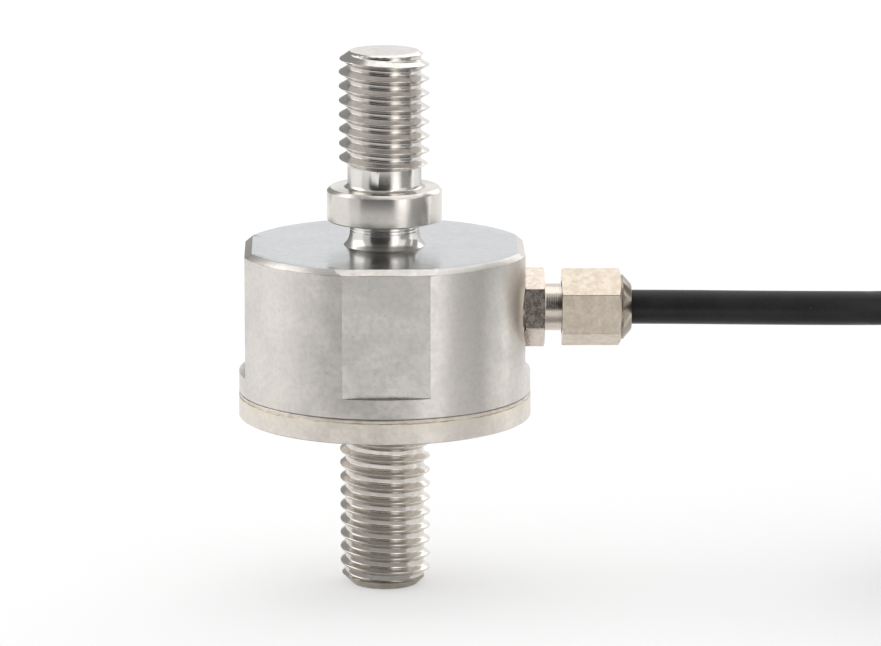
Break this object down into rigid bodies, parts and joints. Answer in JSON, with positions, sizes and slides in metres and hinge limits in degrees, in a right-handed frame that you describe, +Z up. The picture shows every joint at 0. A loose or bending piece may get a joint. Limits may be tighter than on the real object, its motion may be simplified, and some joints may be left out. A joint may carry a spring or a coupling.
{
  "type": "tension and compression load cell",
  "caption": "Round stainless load cell with a threaded stud on each end, wrench flats round its body, and a side gland with a black cable.",
  "frame": {"origin": "centre of the lower stud's end face, which is also the plane that the part stands on", "axes": "+Z up along the load axis to the upper stud, +X out through the cable gland, -Y towards the front wrench flat"},
  "size_m": [0.1242, 0.0286, 0.0472],
  "materials": {
    "body_steel": "turned and ground stainless steel, satin",
    "base_steel": "turned stainless steel, satin, heat-tinted at the weld",
    "nickel": "nickel plate on brass, satin to bright",
    "brass": "plain turned brass",
    "seal_rubber": "black nitrile rubber",
    "cable_jacket": "matte black cable jacket",
    "braid": "tinned copper braid",
    "board": "green laminate",
    "chip": "black glazed resistor",
    "gauge_foil": "amber film with etched foil",
    "wire_enamel": "enamelled copper wire",
    "heat_shrink": "black shrink sleeve",
    "tie_nylon": "black nylon strap",
    "core_red": "red core insulation",
    "core_black": "black core insulation",
    "core_green": "green core insulation",
    "core_white": "white core insulation"
  },
  "bodies": {
    "root": {"base_plate": "base_steel", "bridge_board": "board", "cable_braid": "braid", "cable_end_sleeve": "heat_shrink", "cable_entry": "cable_jacket", "cable_hank": "cable_jacket", "cable_run": "cable_jacket", "cable_tail": "cable_jacket", "cable_tie": "tie_nylon", "core_black": "core_black", "core_green": "core_green", "core_red": "core_red", "core_white": "core_white", "drain_wire": "braid", "gauge_wire_1_a": "wire_enamel", "gauge_wire_1_b": "wire_enamel", "gauge_wire_2_a": "wire_enamel", "gauge_wire_2_b": "wire_enamel", "gauge_wire_3_a": "wire_enamel", "gauge_wire_3_b": "wire_enamel", "gauge_wire_4_a": "wire_enamel", "gauge_wire_4_b": "wire_enamel", "gland_body": "nickel", "gland_nut": "nickel", "gland_seal": "seal_rubber", "lead_black": "core_black", "lead_green": "core_green", "lead_red": "core_red", "lead_white": "core_white", "port_seal": "seal_rubber", "sensing_body": "body_steel", "span_drift_resistor": "chip", "span_trim_resistor": "chip", "strain_gauge_1": "gauge_foil", "strain_gauge_2": "gauge_foil", "strain_gauge_3": "gauge_foil", "strain_gauge_4": "gauge_foil", "thrust_ring": "brass", "zero_drift_resistor": "chip", "zero_trim_resistor": "chip"}
  },
  "joints": []
}
